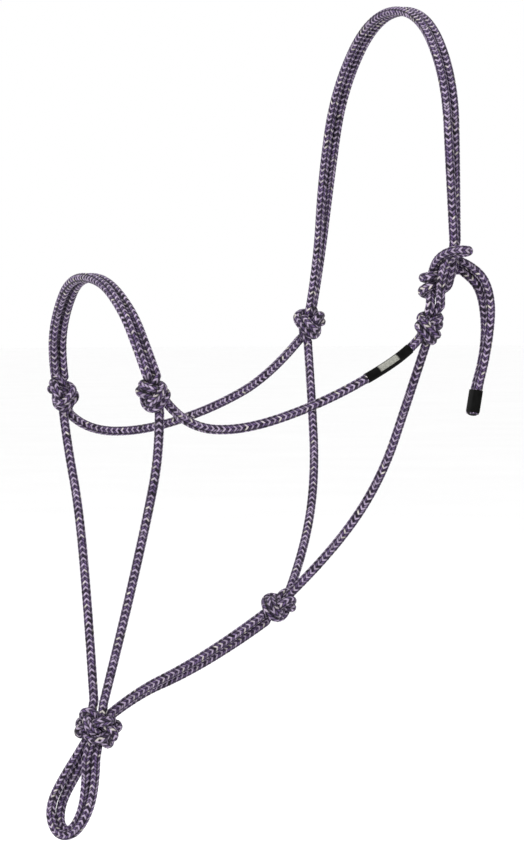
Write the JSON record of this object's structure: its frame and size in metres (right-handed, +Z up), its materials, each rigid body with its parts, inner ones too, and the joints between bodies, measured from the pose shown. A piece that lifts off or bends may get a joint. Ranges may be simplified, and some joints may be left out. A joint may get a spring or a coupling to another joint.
{
  "type": "rope halter",
  "caption": "Horse's rope halter tied from one cord: doubled crown and noseband, single cheek, jaw and chin lines, tight knots, lead loops and a sheet-bend tie on the left.",
  "frame": {"origin": "underside of the crown at its highest point, where it lies on the poll", "axes": "+Z up as the halter hangs on a head, -Y toward the nose, +X toward the horse's left"},
  "size_m": [0.2084, 0.2893, 0.5784],
  "materials": {
    "rope": "tight braid, lavender, purple and black",
    "shrink_sleeve": "black heat-shrink, slight sheen"
  },
  "bodies": {
    "crown": {"crown_strand_front": "rope", "crown_strand_rear": "rope", "tie_hitch": "rope", "tie_loop": "rope"},
    "face": {"cheek_knot_left": "rope", "cheek_knot_right": "rope", "cheek_line_left": "rope", "cheek_line_right": "rope", "nose_knot_left": "rope", "nose_knot_right": "rope", "label_sleeve": "shrink_sleeve"},
    "noseband": {"noseband_strand_front": "rope", "noseband_strand_rear": "rope"},
    "jaw": {"jaw_line_left": "rope", "jaw_line_right": "rope", "throat_knot": "rope"},
    "under_jaw": {"under_jaw_strand_lower": "rope", "under_jaw_strand_upper": "rope", "fiador_knot": "rope"},
    "chin": {"chin_line_left": "rope", "chin_line_right": "rope"},
    "lead_loops": {"lead_loop_outer": "rope", "lead_loop_inner": "rope"},
    "tail": {"tail_strand_inner": "rope", "tail_strand_outer": "rope", "tail_tip_sleeve": "shrink_sleeve"}
  },
  "joints": [
    {"name": "crown_tip", "type": "hinge", "parent": "crown", "child": "face", "pos_m": [0, -0.0245, -0.2175], "axis": [1, 0, 0], "range_deg": [-35, 30]},
    {"name": "noseband_tilt", "type": "hinge", "parent": "face", "child": "noseband", "pos_m": [0, -0.228, -0.265], "axis": [1, 0, 0], "range_deg": [-35, 45]},
    {"name": "jaw_swing", "type": "hinge", "parent": "face", "child": "jaw", "pos_m": [0, -0.0245, -0.2175], "axis": [1, 0, 0], "range_deg": [-8, 8]},
    {"name": "under_jaw_swing", "type": "hinge", "parent": "jaw", "child": "under_jaw", "pos_m": [0, -0.0955, -0.416], "axis": [1, 0, 0], "range_deg": [-12, 12]},
    {"name": "chin_swing", "type": "hinge", "parent": "face", "child": "chin", "pos_m": [0, -0.228, -0.265], "axis": [1, 0, 0], "range_deg": [-6, 6]},
    {"name": "lead_loop_swing", "type": "hinge", "parent": "under_jaw", "child": "lead_loops", "pos_m": [0, -0.239, -0.4955], "axis": [1, 0, 0], "range_deg": [-40, 40]},
    {"name": "tail_swing", "type": "hinge", "parent": "crown", "child": "tail", "pos_m": [0.1017, -0.004, -0.172], "axis": [1, 0, 0], "range_deg": [-8, 34]}
  ],
  "couplings": [
    {"joint": "under_jaw_swing", "follows": "jaw_swing", "ratio": -1.4404},
    {"joint": "chin_swing", "follows": "jaw_swing", "ratio": 0.7093}
  ]
}
